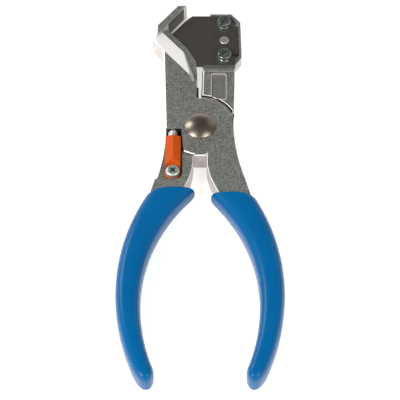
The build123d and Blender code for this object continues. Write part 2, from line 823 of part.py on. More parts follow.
with BuildPart() as return_spring:
    with BuildLine():
        coil = Helix(
            (spring_start - spring_end) / spring_turns,
            spring_start - spring_end,
            spring_radius,
            center=(sleeve_x, spring_start, spring_z),
            direction=(0, -1, 0),
        )
    with BuildSketch(Plane(origin=coil @ 0, z_dir=coil % 0)):
        Circle(spring_wire / 2)
    sweep(is_frenet=True)
    # straight leg down to the loop that goes round the sleeve screw
    leg_start = coil @ 1
    leg_end = Vector(sleeve_x, sleeve_screw_y + loop_radius, loop_z)
    with BuildSketch(Plane(origin=leg_start, z_dir=leg_end - leg_start)):
        Circle(spring_wire / 2)
    extrude(amount=(leg_end - leg_start).length)
    add(Torus(loop_radius, spring_wire / 2, mode=Mode.PRIVATE).moved(Location((sleeve_x, sleeve_screw_y, loop_z))))
return_spring.part.label = "return_spring"

# ---------------------------------------------------------------- grips
grips = []
for side, top, name in ((-1, left_grip_top, "left_grip"), (1, right_grip_top, "right_grip")):
    with BuildPart() as grip:
        with BuildSketch(Plane.XY):
            add(grip_profile())
        extrude(amount=grip_thickness)
        rims = edges().group_by(Axis.Z)[0] + edges().group_by(Axis.Z)[-1]
        fillet(rims.sort_by(Axis.Y)[:-2], grip_edge_round)
        with BuildSketch(Plane.XY):
            with Locations((0, top)):
                Rectangle(2 * far, far, align=(Align.CENTER, Align.MIN))
            outer_corner = outer_x(top)
            with BuildLine():
                Polyline(
                    (outer_corner - grip_corner, top),
                    (outer_corner + grip_corner, top),
                    (outer_corner + grip_corner, top - 2 * grip_corner),
                    close=True,
                )
            make_face()
        extrude(amount=far, mode=Mode.SUBTRACT)
        with BuildSketch(Plane.XY.offset(lever_bottom - grip_fit)):
            add(handle_profile(grip_wall - grip_fit))
        extrude(amount=lever_thickness + 2 * grip_fit, mode=Mode.SUBTRACT)
    piece = grip.part if side > 0 else mirror(grip.part, about=Plane.YZ)
    piece.label = name
    grips.append(piece)

# ---------------------------------------------------------------- files
pieces = [
    anvil_lever.part,
    anvil_plate.part,
    anvil_pins.part,
    stop_pad.part,
    spring_post.part,
    blade_lever.part,
    blade.part,
    locating_pin.part,
    blade_washers.part,
    blade_screws.part,
    rivet_washer.part,
    pivot_rivet.part,
    spring_sleeve.part,
    sleeve_screw.part,
    return_spring.part,
    *grips,
]
for piece in pieces:
    export_step(piece, f"parts/{piece.label}.step")
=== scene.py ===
"""Bow-handled cutting pliers: finishes, moulded grips, return spring and a plain studio.

Every size is in metres in the tool's own frame: +Z up along the pivot, +Y towards the jaws.
"""

import math

import bmesh
import bpy
from bpy.props import FloatProperty, FloatVectorProperty, IntProperty, PointerProperty
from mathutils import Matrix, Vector


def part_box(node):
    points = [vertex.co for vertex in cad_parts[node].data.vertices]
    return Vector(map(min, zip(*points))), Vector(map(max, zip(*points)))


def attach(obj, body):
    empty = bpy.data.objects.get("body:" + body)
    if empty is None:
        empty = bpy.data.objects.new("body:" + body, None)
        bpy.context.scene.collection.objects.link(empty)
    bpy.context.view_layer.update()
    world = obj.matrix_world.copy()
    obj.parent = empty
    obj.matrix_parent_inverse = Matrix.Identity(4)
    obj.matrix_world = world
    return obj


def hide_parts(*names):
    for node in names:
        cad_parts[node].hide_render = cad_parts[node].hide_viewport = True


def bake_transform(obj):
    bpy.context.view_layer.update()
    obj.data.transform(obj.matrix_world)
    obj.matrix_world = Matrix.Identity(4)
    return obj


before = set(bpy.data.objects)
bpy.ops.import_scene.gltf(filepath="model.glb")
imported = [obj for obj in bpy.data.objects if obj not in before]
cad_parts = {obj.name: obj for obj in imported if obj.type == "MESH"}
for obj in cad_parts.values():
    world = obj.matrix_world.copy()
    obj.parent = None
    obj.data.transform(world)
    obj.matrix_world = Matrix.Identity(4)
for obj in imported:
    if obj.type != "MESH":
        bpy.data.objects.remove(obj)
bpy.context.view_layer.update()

bl_info = {
    "name": "Bow-handled cutting pliers",
    "version": (1, 0, 0),
    "blender": (4, 5, 0),
    "location": "3D View > Sidebar > Pliers",
    "description": "Finishes, grips, spring and studio for a pair of cutting pliers",
    "category": "Object",
}

MM = 0.001
BLADE_SIDE = "blade_side"
ANVIL_SIDE = "anvil_side"

# where the castings' special faces look, as directions in the tool's frame
UP = (0.0, 0.0, 1.0)
RIDGE = math.radians(40.7)
FACET_TILT = math.radians(18.0)
WALL_TILT = math.radians(60.0)
STEP_TILT = math.radians(40.0)


def tilted(azimuth, tilt):
    """Unit direction leaning from +Z by tilt towards an azimuth."""
    lean = math.sin(tilt)
    return (lean * math.cos(azimuth), lean * math.sin(azimuth), math.cos(tilt))


FACET_NORMAL = tilted(RIDGE, FACET_TILT)
LEDGE_WALL_NORMAL = tilted(RIDGE, WALL_TILT)
STEP_NORMAL = tilted(math.pi / 2, STEP_TILT)
LEVER_TOP = 11.0 * MM
PANEL_FLOOR = 10.65 * MM

# border of the blade arm's front face, all painted light: painted shadow beside its edge, a painted highlight
# line, then a band of painted shade
ARM_ARC = 14.85 * MM
ARM_EDGE = 0.08 * MM
ARM_EDGE_LEAN = (1.0, -0.0282, 0.0)
ARM_TOP = 27.8 * MM
ARM_FOOT = 3.0 * MM
HIGHLIGHT_START = 0.45 * MM
HIGHLIGHT_END = 0.95 * MM
SHADE_BAND_END = 1.35 * MM
TOP_HIGHLIGHT = 0.45 * MM
TOP_HIGHLIGHT_SHARE = 0.35

# how far a screw's cross recess reaches from its axis
DRIVE_REACH = 1.75 * MM

# relief of the cast faces
BLAST_DEPTH = 0.09 * MM
WAVE_DEPTH = 0.3 * MM


# ------------------------------------------------------------------ materials
class Finish:
    """One procedural finish: a Principled shader and the nodes that feed it."""

    def __init__(self, name, color, metallic, roughness, **extra):
        self.material = bpy.data.materials.new(name)
        self.material.use_nodes = True
        self.material.diffuse_color = (*color, 1.0)
        self.tree = self.material.node_tree
        self.tree.nodes.clear()
        output = self.add("ShaderNodeOutputMaterial")
        self.shader = self.add("ShaderNodeBsdfPrincipled")
        self.tree.links.new(self.shader.outputs["BSDF"], output.inputs["Surface"])
        self.shader.inputs["Base Color"].default_value = (*color, 1.0)
        self.shader.inputs["Metallic"].default_value = metallic
        self.shader.inputs["Roughness"].default_value = roughness
        for socket, value in extra.items():
            self.shader.inputs[socket.replace("_", " ")].default_value = value
        self.coordinates = self.add("ShaderNodeTexCoord")
        self.place = self.coordinates.outputs["Object"]
        self.facing = self.coordinates.outputs["Normal"]
        self.height = None

    def add(self, kind, **settings):
        node = self.tree.nodes.new(kind)
        for key, value in settings.items():
            setattr(node, key, value)
        return node

    def feed(self, socket, value):
        """Links an output to an input socket, or sets a plain value on it."""
        if isinstance(value, bpy.types.NodeSocket):
            self.tree.links.new(value, socket)
        else:
            socket.default_value = value

    def noise(self, scale, detail=3.0, roughness=0.55, stretch=None):
        node = self.add("ShaderNodeTexNoise")
        place = self.place
        if stretch is not None:
            mapping = self.add("ShaderNodeMapping")
            mapping.inputs["Scale"].default_value = stretch
            self.feed(mapping.inputs["Vector"], place)
            place = mapping.outputs["Vector"]
        self.feed(node.inputs["Vector"], place)
        node.inputs["Scale"].default_value = scale
        node.inputs["Detail"].default_value = detail
        node.inputs["Roughness"].default_value = roughness
        return node.outputs["Fac"]

    def ramp(self, value, low, high, start=0.0, end=1.0):
        """value from low to high, carried smoothly to start..end."""
        node = self.add("ShaderNodeMapRange", interpolation_type="SMOOTHSTEP")
        self.feed(node.inputs["Value"], value)
        node.inputs["From Min"].default_value = low
        node.inputs["From Max"].default_value = high
        node.inputs["To Min"].default_value = start
        node.inputs["To Max"].default_value = end
        return node.outputs["Result"]

    def maths(self, operation, first, second):
        node = self.add("ShaderNodeMath", operation=operation)
        self.feed(node.inputs[0], first)
        self.feed(node.inputs[1], second)
        return node.outputs["Value"]

    def product(self, first, *others):
        """Shares multiplied together."""
        for other in others:
            first = self.maths("MULTIPLY", first, other)
        return first

    def towards(self, direction):
        """How nearly the surface faces a direction in the tool's frame, 1 at most."""
        node = self.add("ShaderNodeVectorMath", operation="DOT_PRODUCT")
        self.feed(node.inputs[0], self.facing)
        node.inputs[1].default_value = direction
        return node.outputs["Value"]

    def along(self, direction):
        """Distance of a point along a direction in the tool's frame."""
        node = self.add("ShaderNodeVectorMath", operation="DOT_PRODUCT")
        self.feed(node.inputs[0], self.place)
        node.inputs[1].default_value = direction
        return node.outputs["Value"]

    def around(self, centre=(0.0, 0.0, 0.0)):
        """Distance of a point from an upright axis, the pivot's if no other is named."""
        offset = self.add("ShaderNodeVectorMath", operation="SUBTRACT")
        self.feed(offset.inputs[0], self.place)
        offset.inputs[1].default_value = centre
        flat = self.add("ShaderNodeVectorMath", operation="MULTIPLY")
        self.feed(flat.inputs[0], offset.outputs["Vector"])
        flat.inputs[1].default_value = (1.0, 1.0, 0.0)
        length = self.add("ShaderNodeVectorMath", operation="LENGTH")
        self.feed(length.inputs[0], flat.outputs["Vector"])
        return length.outputs["Value"]

    def mix(self, share, first, second):
        """Colour between two colours or outputs."""
        node = self.add("ShaderNodeMix", data_type="RGBA")
        self.feed(node.inputs["Factor"], share)
        colors = [socket for socket in node.inputs if socket.type == "RGBA"]
        for socket, value in zip(colors, (first, second)):
            self.feed(socket, value if isinstance(value, bpy.types.NodeSocket) else (*value, 1.0))
        return [socket for socket in node.outputs if socket.type == "RGBA"][0]

    def blend(self, share, first, second):
        """Number between two numbers or outputs."""
        node = self.add("ShaderNodeMix", data_type="FLOAT")
        sockets = [socket for socket in node.inputs if socket.type == "VALUE"]
        self.feed(sockets[0], share)
        self.feed(sockets[1], first)
        self.feed(sockets[2], second)
        return [socket for socket in node.outputs if socket.type == "VALUE"][0]

    def color(self, value):
        self.feed(self.shader.inputs["Base Color"], value)

    def roughness(self, value):
        self.feed(self.shader.inputs["Roughness"], value)

    def bump(self, height, strength, distance):
        """Relief from a height, on top of any relief already there."""
        node = self.add("ShaderNodeBump")
        self.feed(node.inputs["Height"], height)
        self.feed(node.inputs["Strength"], strength)
        node.inputs["Distance"].default_value = distance
        if self.height is not None:
            self.feed(node.inputs["Normal"], self.height)
        self.height = node.outputs["Normal"]
        self.feed(self.shader.inputs["Normal"], self.height)


def shade(color, factor):
    """A colour made lighter or darker."""
    return tuple(min(1.0, channel * factor) for channel in color)


def painted_arm_border(finish, up, flat):
    """Shares of the blade arm's painted border: painted shadow beside its edge, a painted highlight line, a
    band of painted shade and a painted highlight along its top.
    """
    arc = finish.maths("SUBTRACT", finish.around(), ARM_ARC)
    edge = finish.maths("SUBTRACT", finish.along(ARM_EDGE_LEAN), ARM_EDGE)
    along_arm = finish.along((0.0, 1.0, 0.0))
    lip = finish.maths("MINIMUM", arc, edge)
    on_arm = finish.product(
        finish.ramp(edge, -0.15 * MM, -0.05 * MM),
        finish.ramp(arc, -0.5 * MM, -0.4 * MM),
        finish.ramp(along_arm, ARM_FOOT, ARM_FOOT + 0.5 * MM),
        finish.ramp(along_arm, ARM_TOP + 0.1 * MM, ARM_TOP),
        finish.ramp(up, 0.2, 0.3),
    )
    painted_gap_shadow = finish.product(on_arm, finish.ramp(lip, HIGHLIGHT_START, HIGHLIGHT_START - 0.1 * MM))
    on_face = finish.product(on_arm, flat)
    painted_edge_highlight = finish.product(
        on_face,
        finish.ramp(lip, HIGHLIGHT_START - 0.05 * MM, HIGHLIGHT_START + 0.05 * MM),
        finish.ramp(lip, HIGHLIGHT_END + 0.05 * MM, HIGHLIGHT_END - 0.1 * MM),
    )
    painted_shade_band = finish.product(
        on_face,
        finish.ramp(lip, HIGHLIGHT_END, HIGHLIGHT_END + 0.1 * MM),
        finish.ramp(lip, SHADE_BAND_END, SHADE_BAND_END - 0.2 * MM),
    )
    line_start = ARM_TOP - TOP_HIGHLIGHT
    painted_top_highlight = finish.product(on_face, finish.ramp(along_arm, line_start, line_start + 0.1 * MM))
    return painted_gap_shadow, painted_edge_highlight, painted_shade_band, painted_top_highlight


def notch_painted_shade(finish, level):
    """Share of the deep notch above the spring's cover, up to just past the spring's end, where shade is
    painted.
    """
    low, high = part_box("spring_sleeve")
    spring_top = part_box("return_spring")[1].y
    across = finish.along((1.0, 0.0, 0.0))
    along_arm = finish.along((0.0, 1.0, 0.0))
    return finish.product(
        finish.ramp(across, low.x - 0.6 * MM, low.x - 0.2 * MM),
        finish.ramp(across, high.x + 0.5 * MM, high.x + 0.3 * MM),
        finish.ramp(along_arm, high.y - 1.0 * MM, high.y),
        finish.ramp(along_arm, spring_top + 1.0 * MM, spring_top + 0.6 * MM),
        finish.ramp(level, LEVER_TOP - 0.3 * MM, LEVER_TOP - 0.6 * MM),
    )


def blasted_top(finish, colors, speckle):
    """Colour of the shot-blasted faces: speckle, a few bright grains and slow clouding."""
    grains = finish.ramp(finish.noise(3600.0, 1.0, 0.5), 0.58, 0.7)
    cloud = finish.ramp(finish.noise(90.0, 3.0), 0.3, 0.7)
    top = finish.mix(speckle, shade(colors.casting, 0.42), shade(colors.casting, 1.58))
    top = finish.mix(finish.product(grains, 0.5), top, shade(colors.casting, 2.4))
    return finish.mix(finish.product(cloud, 0.25), top, shade(colors.casting, 0.85))


def cast_finish(name, colors):
    """Shot-blasted casting: speckled satin tops, walls painted pale as a reflection of the floor, painted
    highlights on the rims, a ground facet painted near white for its reflection, and painted shade and
    highlights on the ledge, the notch and the arm's border.
    """
    finish = Finish(name, colors.casting, 0.7, 0.4)
    up = finish.towards(UP)
    level = finish.along(UP)
    speckle = finish.ramp(finish.noise(2300.0, 3.0, 0.65), 0.38, 0.62)
    flat = finish.ramp(up, 0.955, 0.985)
    patches = finish.ramp(finish.noise(500.0, 3.0), 0.3, 0.7)
    # the walls' pale colour is a painted reflection of the floor, with random patches
    wall = finish.mix(patches, shade(colors.painted_wall_reflection, 0.88), colors.painted_wall_reflection)
    color = finish.mix(flat, wall, blasted_top(finish, colors, speckle))
    # painted highlight on the rounded edges between the sides and the tops
    painted_rim_highlight = finish.product(finish.ramp(up, 0.2, 0.45), finish.ramp(up, 0.97, 0.9))
    color = finish.mix(painted_rim_highlight, color, colors.bright)

    # the ground facet is a real face; its near-white colour is a painted reflection
    facet = finish.ramp(finish.towards(FACET_NORMAL), 0.993, 0.998)
    ground = finish.noise(260.0, 3.0, 0.6, (1.0, 6.0, 1.0))
    color = finish.mix(facet, color, finish.mix(ground, shade(colors.bright, 0.93), colors.bright))
    # painted shade on the ledge's wall
    painted_ledge_shade = finish.ramp(finish.towards(LEDGE_WALL_NORMAL), 0.95, 0.99)
    color = finish.mix(painted_ledge_shade, color, shade(colors.casting, 0.5))
    step = finish.ramp(finish.towards(STEP_NORMAL), 0.96, 0.99)
    color = finish.mix(step, color, finish.mix(speckle, shade(colors.casting, 0.45), colors.casting))

    panel = finish.product(
        finish.ramp(level, PANEL_FLOOR + 0.15 * MM, PANEL_FLOOR + 0.02 * MM),
        finish.ramp(level, PANEL_FLOOR - 0.12 * MM, PANEL_FLOOR - 0.04 * MM),
        flat,
    )
    panel_floor = finish.mix(speckle, shade(colors.panel, 0.8), shade(colors.panel, 1.15))
    color = finish.mix(panel, color, panel_floor)
    # painted highlight on the panel's raised rim
    painted_raised_highlight = finish.ramp(level, LEVER_TOP + 0.03 * MM, LEVER_TOP + 0.12 * MM)
    color = finish.mix(painted_raised_highlight, color, shade(colors.bright, 0.65))

    painted_gap_shadow, painted_edge_highlight, painted_shade_band, painted_top_highlight = painted_arm_border(finish, up, flat)
    # painted shadow beside the arm's edge, a band of painted shade, and painted highlights along the top and
    # the edge
    color = finish.mix(painted_gap_shadow, color, shade(colors.casting, 0.05))
    color = finish.mix(painted_shade_band, color, shade(colors.casting, 0.4))
    color = finish.mix(finish.product(painted_top_highlight, TOP_HIGHLIGHT_SHARE), color, colors.bright)
    color = finish.mix(painted_edge_highlight, color, shade(colors.bright, 0.85))
    # painted shade in the notch above the spring's cover
    color = finish.mix(notch_painted_shade(finish, level), color, shade(colors.casting, 0.25))
    finish.color(color)

    metal = finish.blend(flat, 0.6, 0.75)
    metal = finish.blend(finish.maths("MAXIMUM", painted_edge_highlight, facet), metal, 0.1)
    finish.feed(finish.shader.inputs["Metallic"], metal)
    finish.roughness(finish.blend(facet, finish.ramp(speckle, 0.0, 1.0, 0.36, 0.5), 0.24))
    unground = finish.maths("SUBTRACT", 1.0, facet)
    finish.bump(speckle, finish.product(unground, 0.4), BLAST_DEPTH)
    finish.bump(finish.noise(220.0, 2.0), finish.product(unground, 0.12), WAVE_DEPTH)
    return finish.material


def tool_steel_finish(name, color, ground_color):
    """Hardened plate: even dark oxide with a finely ground, warmer edge."""
    finish = Finish(name, color, 0.7, 0.42)
    mottle = finish.ramp(finish.noise(420.0, 4.0), 0.3, 0.7)
    face = finish.mix(mottle, shade(color, 0.93), shade(color, 1.08))
    up = finish.towards(UP)
    ground = finish.product(finish.ramp(up, 0.25, 0.4), finish.ramp(up, 0.995, 0.985))
    finish.color(finish.mix(ground, face, ground_color))
    finish.roughness(finish.blend(ground, 0.45, 0.27))
    lines = finish.noise(900.0, 2.0, 0.5, (1.0, 0.08, 1.0))
    finish.bump(lines, 0.1, 0.02 * MM)
    return finish.material


def plated_finish(name, color, metallic=1.0, roughness=0.25, dull=0.45, drive=None):
    """Plated or polished small parts with duller patches; drive names a screw whose cross recess gets painted
    shade.
    """
    finish = Finish(name, color, metallic, roughness)
    patch = finish.ramp(finish.noise(700.0, 3.0), 0.35, 0.68)
    plate = finish.mix(patch, shade(color, 0.82), shade(color, 1.06))
    if drive:
        low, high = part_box(drive)
        inside = finish.ramp(finish.around((low + high) / 2), DRIVE_REACH, DRIVE_REACH - 0.15 * MM)
        sunk = finish.ramp(finish.along(UP), high.z - 0.15 * MM, high.z - 0.4 * MM)
        # painted shade down in the screw's cross recess
        plate = finish.mix(finish.product(inside, sunk), plate, shade(color, 0.12))
    finish.color(plate)
    finish.roughness(finish.ramp(patch, 0.0, 1.0, dull, roughness))
    finish.bump(finish.noise(1600.0, 2.0), 0.08, 0.03 * MM)
    return finish.material


def rivet_finish(name, color):
    """Turned and polished rivet dome: fine rings from the finishing cut over satin steel."""
    finish = Finish(name, color, 1.0, 0.3)
    rings = finish.add("ShaderNodeTexWave", wave_type="RINGS", rings_direction="Z")
    finish.feed(rings.inputs["Vector"], finish.place)
    rings.inputs["Scale"].default_value = 700.0
    rings.inputs["Distortion"].default_value = 1.5
    rings.inputs["Detail"].default_value = 2.0
    worn = finish.ramp(finish.noise(350.0, 4.0), 0.3, 0.75)
    finish.color(finish.mix(worn, shade(color, 0.86), shade(color, 1.08)))
    finish.roughness(finish.ramp(worn, 0.0, 1.0, 0.34, 0.27))
    finish.bump(rings.outputs["Fac"], 0.06, 0.01 * MM)
    return finish.material


def moulded_finish(name, color, roughness, relief, shine):
    """Moulded plastic or dipped vinyl: slight colour flow and a soft fine grain."""
    finish = Finish(name, color, 0.0, roughness, Specular_IOR_Level=shine)
    flow = finish.ramp(finish.noise(60.0, 3.0), 0.3, 0.7)
    finish.color(finish.mix(flow, shade(color, 0.96), shade(color, 1.03)))
    sheen = finish.ramp(finish.noise(130.0, 2.0), 0.3, 0.7, roughness - 0.015, roughness + 0.02)
    finish.roughness(sheen)
    finish.bump(finish.noise(1300.0, 2.0), relief, 0.015 * MM)
    return finish.material


def rubber_finish(name, color):
    """Matt rubber pad with a granular surface."""
    finish = Finish(name, color, 0.0, 0.8)
    grain = finish.ramp(finish.noise(1100.0, 3.0), 0.3, 0.7)
    finish.color(finish.mix(grain, shade(color, 0.7), shade(color, 1.5)))
    finish.bump(grain, 0.3, 0.05 * MM)
    return finish.material


def dress(node, material):
    """Gives a CAD node its finish and returns its object."""
    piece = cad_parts[node]
    piece.data.materials.clear()
    piece.data.materials.append(material)
    return piece


# ------------------------------------------------------------------ shapes
def new_piece(name, shape, material, body=None):
    """A mesh object from a bmesh, shaded smooth, riding on a body when one is named."""
    mesh = bpy.data.meshes.new(name)
    shape.to_mesh(mesh)
    shape.free()
    mesh.materials.append(material)
    for face in mesh.polygons:
        face.use_smooth = True
    piece = bpy.data.objects.new(name, mesh)
    bpy.context.scene.collection.objects.link(piece)
    if body:
        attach(piece, body)
    return piece


def skin(shape, loops, close_start=True, close_end=True):
    """Quads between loops of points that all have the same count, with fans or caps at the ends."""
    rings = [[shape.verts.new(point) for point in loop] for loop in loops]
    count = len(rings[0])
    for near, after in zip(rings, rings[1:]):
        for i in range(count):
            j = (i + 1) % count
            shape.faces.new((near[i], near[j], after[j], after[i]))
    if close_start:
        shape.faces.new(list(reversed(rings[0])))
    if close_end:
        shape.faces.new(rings[-1])
    bmesh.ops.recalc_face_normals(shape, faces=shape.faces)


def bow(reach, middle, radius, y):
    """X of one side of a handle's bow at a height: a circle that reaches furthest out at its middle."""
    return reach - radius + math.sqrt(radius * radius - (y - middle) ** 2)


# grips, in millimetres: each side's bow as (furthest reach, its height, radius), then section and ends
OUTER_SIDE = (32.75, -75.0, 87.0)
INNER_SIDE_HIGH = (22.9, -80.3, 70.5)
INNER_SIDE_LOW = (22.9, -80.3, 79.0)
GRIP_MIDDLE = 6.25
GRIP_HALF = 6.23
GRIP_SIDES = 48
MOUTH_LENGTH = 2.6
MOUTH_LIP = 0.9
MOUTH_SINK = 0.12
MOUTH_STEPS = 10
INNER_CORNER_SHARE = 0.15
BOW_STEPS = 64
TIP_START = -109.0
TIP_STEPS = 14
TIP_REACH = 0.985
TIP_FULLNESS = 3.0
TIP_SQUARENESS = 2.2
TIP_OUTER = ((25.8, -109.0), (24.7, -111.6), (22.6, -114.5), (20.6, -114.6))
TIP_INNER = ((17.5, -109.0), (17.0, -111.6), (17.6, -114.5), (20.6, -114.6))
GRIP_TOPS = {"left_grip": -30.0, "right_grip": -32.3}


# return spring: the coil's height, its end above the cover's screw, and the ring round that screw
COIL_LEVEL = 8.5 * MM
LEG_END = 5.3 * MM
RING_RADIUS = 2.0 * MM
RING_LIFT = 0.02 * MM
STEPS_PER_TURN = 20
LEG_STEPS = 5
RING_STEPS = 33


def grip_edge(side, y):
    """A point of the right grip's outer or inner side at a height, in millimetres."""
    if side == "outer":
        arc = OUTER_SIDE
    else:
        arc = INNER_SIDE_LOW if y < INNER_SIDE_LOW[1] else INNER_SIDE_HIGH
    return Vector((bow(*arc, y), y, 0.0))


def bezier(points, share):
    """A point of the cubic curve through four control points."""
    rest = 1.0 - share
    weights = (rest**3, 3 * rest * rest * share, 3 * rest * share * share, share**3)
    return sum((Vector((x, y, 0.0)) * w for (x, y), w in zip(points, weights)), Vector())


def mouth_station(top, share, corner):
    """Both sides of the grip near its open end, where the corners are rounded, and its fullness in height."""
    drop = MOUTH_LENGTH * (1.0 - math.cos(share * math.pi / 2))
    outer, inner = grip_edge("outer", top - drop), grip_edge("inner", top - drop)
    round_off = corner * (1.0 - math.sin(share * math.pi / 2))
    outer.x -= round_off
    inner.x += INNER_CORNER_SHARE * round_off
    lip = 1.0 - min(1.0, drop / MOUTH_LIP)
    return outer, inner, 1.0 - MOUTH_SINK * (1.0 - math.sqrt(1.0 - lip * lip))


def grip_stations(top, corner):
    """(outer point, inner point, share of the full height) from the grip's mouth to its tip."""
    stations = [mouth_station(top, i / MOUTH_STEPS, corner) for i in range(MOUTH_STEPS + 1)]
    high = top - MOUTH_LENGTH
    for i in range(1, BOW_STEPS + 1):
        y = high + (TIP_START - high) * i / BOW_STEPS
        stations.append((grip_edge("outer", y), grip_edge("inner", y), 1.0))
    for i in range(1, TIP_STEPS + 1):
        share = TIP_REACH * math.sin(i / TIP_STEPS * math.pi / 2)
        tall = (1.0 - share**TIP_FULLNESS) ** (1 / TIP_SQUARENESS)
        stations.append((bezier(TIP_OUTER, share), bezier(TIP_INNER, share), tall))
    return stations


def grip_loops(top, sizes):
    """Cross-sections of a dipped grip from its rolled mouth down to its blunt tip."""
    power = 2.0 / sizes.grip_fullness
    loops = []
    for outer, inner, tall in grip_stations(top, sizes.mouth_corner / MM):
        centre, across = (outer + inner) / 2, (outer - inner) / 2
        loop = []
        for k in range(GRIP_SIDES):
            turn = 2 * math.pi * (k + 0.5) / GRIP_SIDES
            c, s = math.cos(turn), math.sin(turn)
            point = centre + across * math.copysign(abs(c) ** power, c)
            point.z = GRIP_MIDDLE + GRIP_HALF * tall * math.copysign(abs(s) ** power, s)
            loop.append(point * MM)
        loops.append(loop)
    return loops


def tube_loops(path, radius, sides=10):
    """Rings round a path of points, without twist."""
    loops = []
    normal = None
    for i, point in enumerate(path):
        ahead = path[min(i + 1, len(path) - 1)] - path[max(i - 1, 0)]
        ahead.normalize()
        if normal is None:
            normal = ahead.orthogonal().normalized()
        normal = (normal - ahead * normal.dot(ahead)).normalized()
        side = ahead.cross(normal)
        turns = [2 * math.pi * k / sides for k in range(sides)]
        loops.append([point + (normal * math.cos(t) + side * math.sin(t)) * radius for t in turns])
    return loops


# studio: what the camera and the lamps look at, and the lamps as (name, place, width)
CAMERA_TARGET = (0.0, -32.77 * MM, 6.25 * MM)
LAMP_TARGET = (0.0, -0.03, 0.0)
LAMPS = (
    ("key_light", (-0.7, -0.55, 0.85), 0.5),
    ("fill_light", (0.6, -0.6, 0.9), 0.6),
    ("back_left_light", (-0.78, 0.62, 0.74), 0.5),
    ("back_right_light", (0.72, 0.72, 0.7), 0.5),
)
BACK_RIGHT_SHARE = 0.1
FLOOR_PALE = 0.87
FLOOR_DARK = 0.85
FLOOR_LIFT = 0.6
HORIZON = 0.12
CEILING = 0.5
HORIZON_STRENGTH = 1.35
CEILING_STRENGTH = 0.16


# ------------------------------------------------------------------ settings
class PliersColors(bpy.types.PropertyGroup):
    """Colours of the tool's finishes."""

    def swatch(label, words, value):
        return FloatVectorProperty(
            name=label, description=words, default=value, subtype="COLOR", size=3, min=0.0, max=1.0
        )

    casting: swatch("Casting", "Shot-blasted faces of both levers", (0.262, 0.268, 0.246))
    # the sides' pale colour is a painted reflection of the floor
    painted_wall_reflection: swatch("Fettled walls", "Sides of the levers, ground lightly", (0.63, 0.58, 0.555))
    # bright steel is the ground facet's colour, painted near white as a reflection, and the painted highlight
    # on the rims, the raised panel rim and the arm's border
    bright: swatch("Bright steel", "Ground facet and worn rims", (0.97, 0.945, 0.93))
    panel: swatch("Panel floor", "Floor of the sunk panel on the blade arm", (0.285, 0.275, 0.245))
    blade: swatch("Blade", "Hardened blade plate", (0.095, 0.086, 0.075))
    anvil: swatch("Anvil", "Hardened anvil plate", (0.047, 0.049, 0.044))
    ground_edge: swatch("Ground edge", "Ground bevel along the cutting edge", (0.52, 0.42, 0.36))
    zinc: swatch("Zinc", "Plated screws and washers", (0.34, 0.37, 0.355))
    pin: swatch("Pin", "Polished pins and spring wire", (0.74, 0.70, 0.68))
    rivet: swatch("Rivet", "Pivot rivet", (0.29, 0.25, 0.205))
    sleeve: swatch("Sleeve", "Spring cover", (0.52, 0.072, 0.003))
    grip: swatch("Grip", "Dipped vinyl grips", (0.0, 0.102, 0.28))
    pad: swatch("Pad", "Stop pad", (0.012, 0.012, 0.012))


class PliersSizes(bpy.types.PropertyGroup):
    """Sizes of the pieces made here."""

    def length(label, words, value):
        return FloatProperty(name=label, description=words, default=value, unit="LENGTH", subtype="DISTANCE")

    grip_fullness: FloatProperty(
        name="Grip fullness",
        description="2 is an oval section, larger is squarer",
        default=3.0,
        min=2.0,
        max=6.0,
    )
    mouth_corner: length("Mouth corner", "Round at the grip's open end", 2.2 * MM)
    wire: length("Spring wire", "Radius of the spring's wire", 0.3 * MM)
    coil: length("Coil radius", "Radius of the coil's middle line", 1.6 * MM)
    turns: IntProperty(name="Turns", description="Turns of the return spring", default=19, min=4, max=40)


class PliersStudio(bpy.types.PropertyGroup):
    """Camera, floor and lights."""

    def power(label, words, value):
        return FloatProperty(name=label, description=words, default=value, unit="POWER")

    distance: FloatProperty(
        name="Camera distance",
        description="From the tool's middle",
        default=0.65,
        unit="LENGTH",
        subtype="DISTANCE",
    )
    tilt: FloatProperty(
        name="Camera tilt",
        description="Away from straight above",
        default=math.radians(32.0),
        unit="ROTATION",
    )
    lens: FloatProperty(name="Lens", description="Focal length in millimetres", default=146.25, min=10.0)
    floor: FloatProperty(
        name="Floor width",
        description="Side of the floor",
        default=30.0,
        unit="LENGTH",
        subtype="DISTANCE",
    )
    key: power("Key light", "Power of the key light", 12.8)
    fill: power("Fill light", "Power of the fill light", 6.75)
    back: power("Back lights", "Power of the left back light, of which the right one has a small share", 3.2)


# ------------------------------------------------------------------ operators
class PLIERS_OT_castings(bpy.types.Operator):
    """Finish both cast levers"""

    bl_idname = "pliers.castings"
    bl_label = "Castings"

    def execute(self, context):
        material = cast_finish("cast_steel", context.scene.pliers_colors)
        for node in ("anvil_lever", "blade_lever"):
            dress(node, material)
        return {"FINISHED"}


class PLIERS_OT_cutting_steel(bpy.types.Operator):
    """Finish the blade and the anvil plate"""

    bl_idname = "pliers.cutting_steel"
    bl_label = "Cutting steel"

    def execute(self, context):
        colors = context.scene.pliers_colors
        blade = tool_steel_finish("blade_steel", colors.blade, colors.ground_edge)
        dress("blade", blade)
        anvil = tool_steel_finish("anvil_steel", colors.anvil, colors.ground_edge)
        dress("anvil_plate", anvil)
        return {"FINISHED"}


class PLIERS_OT_fasteners(bpy.types.Operator):
    """Finish the screws, washers, pins and spring post"""

    bl_idname = "pliers.fasteners"
    bl_label = "Screws and pins"

    def execute(self, context):
        colors = context.scene.pliers_colors
        zinc = plated_finish("zinc_plate", colors.zinc)
        for node in ("blade_screws", "blade_washers", "rivet_washer"):
            dress(node, zinc)
        pale_zinc = shade(colors.zinc, 1.9)
        pale = plated_finish("pale_zinc_plate", pale_zinc, 0.85, 0.3, drive="sleeve_screw")
        dress("sleeve_screw", pale)
        bright = plated_finish("bright_steel", colors.pin, 0.9, 0.3)
        for node in ("locating_pin", "anvil_pins", "spring_post"):
            dress(node, bright)
        return {"FINISHED"}


